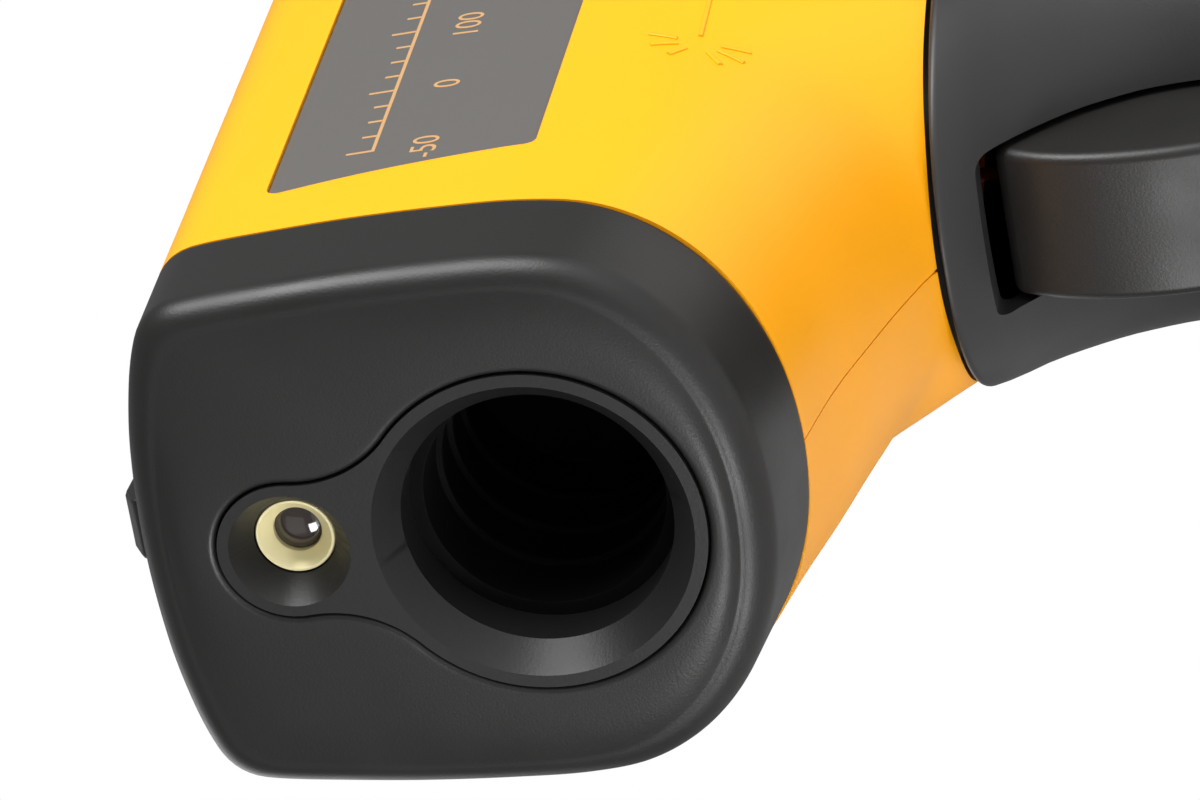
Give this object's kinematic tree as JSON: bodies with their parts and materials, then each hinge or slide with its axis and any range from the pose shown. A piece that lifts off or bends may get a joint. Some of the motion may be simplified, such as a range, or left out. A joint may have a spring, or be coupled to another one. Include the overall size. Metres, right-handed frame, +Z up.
{
  "type": "infrared thermometer",
  "caption": "Pistol-form infrared thermometer with a keyhole sensor and laser nose, rear display, press buttons, sprung trigger and hinged battery door.",
  "frame": {"origin": "middle of the handle's flat base", "axes": "+Z up, parallel to the device's height; -Y out of the sensor's aperture, along the infrared axis; +X across"},
  "size_m": [0.0426, 0.1019, 0.1523],
  "materials": {
    "shell_plastic": "fine moulded satin",
    "black_plastic": "fine moulded satin",
    "gloss_black": "smooth semi-gloss",
    "grip_black": "soft satin",
    "label_film": "printed film",
    "brass": "machined",
    "lens_glass": "polished",
    "infrared_plastic": "smooth",
    "steel": "plated",
    "board_green": "solder mask",
    "white_plastic": "moulded",
    "lcd": "polished",
    "window_clear": "polished",
    "button_grey": "soft matt",
    "cell_wrap": "printed sleeve",
    "wire_red": "insulation",
    "chip_black": "moulded",
    "spring_steel": "plated"
  },
  "bodies": {
    "root": {"body_shell_right": "shell_plastic", "body_shell_left": "shell_plastic", "shell_screws": "steel", "side_label_right": "label_film", "side_label_left": "label_film", "nose_cap": "black_plastic", "nose_insert": "gloss_black", "optics_barrel": "black_plastic", "infrared_lens": "infrared_plastic", "thermopile_sensor": "steel", "sensor_filter": "infrared_plastic", "sensor_board": "board_green", "sensor_mount": "black_plastic", "laser_module": "brass", "laser_lens": "lens_glass", "laser_holder": "black_plastic", "laser_board": "board_green", "rear_bezel": "black_plastic", "display_window": "window_clear", "lcd_glass": "lcd", "lcd_backlight": "white_plastic", "lcd_contact_strip": "grip_black", "display_frame": "white_plastic", "main_board": "board_green", "board_screws": "steel", "board_posts": "black_plastic", "button_switches": "steel", "buzzer": "chip_black", "processor_chip": "chip_black", "grip_sleeve": "grip_black", "door_hinge_pin": "steel", "base_cap": "black_plastic", "base_screws": "steel", "battery_tray": "black_plastic", "battery_left": "cell_wrap", "battery_right": "cell_wrap", "battery_contacts": "spring_steel", "battery_springs": "spring_steel", "battery_bridge": "spring_steel", "trigger_pin": "steel", "trigger_bracket": "black_plastic", "trigger_switch": "chip_black", "trigger_spring": "spring_steel", "laser_leads": "wire_red", "battery_leads": "wire_red", "sensor_leads": "wire_red", "front_sight": "black_plastic"},
    "trigger_body": {"trigger": "black_plastic"},
    "plunger_body": {"switch_plunger": "wire_red"},
    "button_left_body": {"button_left": "button_grey"},
    "button_middle_body": {"button_middle": "button_grey"},
    "button_right_body": {"button_right": "button_grey"},
    "door_body": {"battery_door": "grip_black"}
  },
  "joints": [
    {"name": "trigger_pull", "type": "hinge", "parent": "root", "child": "trigger_body", "pos_m": [0, -0.0262, 0.087], "axis": [1, 0, 0], "range_deg": [0, 11], "stiffness_Nm_per_rad": 0.12, "springref_deg": -20.05, "deforming": ["trigger_spring"]},
    {"name": "switch_press", "type": "slide", "parent": "root", "child": "plunger_body", "axis": [0, 1, 0], "range_m": [0, 0.0016]},
    {"name": "battery_door_swing", "type": "hinge", "parent": "root", "child": "door_body", "pos_m": [0, -0.01824, 0.01062], "axis": [1, 0, 0], "range_deg": [0, 75]},
    {"name": "button_left_press", "type": "slide", "parent": "root", "child": "button_left_body", "axis": [0, -0.9511, -0.309], "range_m": [0, 0.0008], "stiffness_N_per_m": 600, "springref_m": -0.0015},
    {"name": "button_middle_press", "type": "slide", "parent": "root", "child": "button_middle_body", "axis": [0, -0.9511, -0.309], "range_m": [0, 0.0008], "stiffness_N_per_m": 600, "springref_m": -0.0015},
    {"name": "button_right_press", "type": "slide", "parent": "root", "child": "button_right_body", "axis": [0, -0.9511, -0.309], "range_m": [0, 0.0008], "stiffness_N_per_m": 600, "springref_m": -0.0015}
  ],
  "couplings": [
    {"joint": "switch_press", "follows": "trigger_pull", "m_per_rad": 0.0078}
  ]
}
